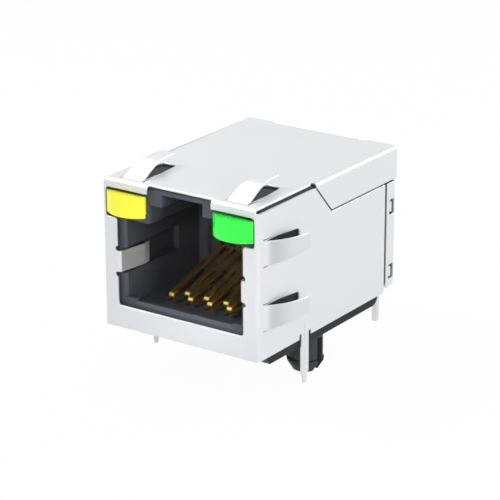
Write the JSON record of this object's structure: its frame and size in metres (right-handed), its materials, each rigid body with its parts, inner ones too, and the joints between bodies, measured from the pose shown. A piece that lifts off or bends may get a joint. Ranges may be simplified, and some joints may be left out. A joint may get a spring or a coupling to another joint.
{
  "type": "board-mounted modular jack",
  "caption": "Shielded right-angle modular network jack for a circuit board, with two indicator lamps, spring contacts, sprung shield fingers, split locating pegs, ground legs and solder pins.",
  "frame": {"origin": "on the circuit board's face, midway between the two locating pegs", "axes": "+Z away from the board, -Y out of the plug's mouth, +X to the right seen from the mouth"},
  "size_m": [0.0184, 0.0224, 0.019],
  "materials": {
    "shield_metal": "satin nickel plate",
    "housing_plastic": "moulded black",
    "carrier_plastic": "moulded dark grey",
    "yellow_lens": "translucent yellow",
    "green_lens": "translucent green",
    "contact_gold": "polished gold plate",
    "tinned_metal": "tin plate",
    "board_laminate": "green laminate",
    "coil_winding": "enamelled winding",
    "chip_ceramic": "ceramic",
    "chip_resistor": "ceramic"
  },
  "bodies": {
    "root": {"shield": "shield_metal", "rear_cover": "shield_metal", "housing": "housing_plastic", "contact_carrier": "carrier_plastic", "pin_tray": "carrier_plastic", "lamp_yellow": "yellow_lens", "lamp_green": "green_lens", "contact_1": "contact_gold", "contact_2": "contact_gold", "contact_3": "contact_gold", "contact_4": "contact_gold", "contact_5": "contact_gold", "contact_6": "contact_gold", "contact_7": "contact_gold", "contact_8": "contact_gold", "lamp_lead_1": "tinned_metal", "lamp_lead_2": "tinned_metal", "lamp_lead_3": "tinned_metal", "lamp_lead_4": "tinned_metal", "solder_pin_1": "tinned_metal", "solder_pin_2": "tinned_metal", "solder_pin_3": "tinned_metal", "solder_pin_4": "tinned_metal", "solder_pin_5": "tinned_metal", "solder_pin_6": "tinned_metal", "solder_pin_7": "tinned_metal", "solder_pin_8": "tinned_metal", "inner_board": "board_laminate", "coil_1": "coil_winding", "coil_2": "coil_winding", "coil_3": "coil_winding", "coil_4": "coil_winding", "capacitor": "chip_ceramic", "resistor_1": "chip_resistor", "resistor_2": "chip_resistor", "resistor_3": "chip_resistor", "resistor_4": "chip_resistor"}
  },
  "joints": []
}
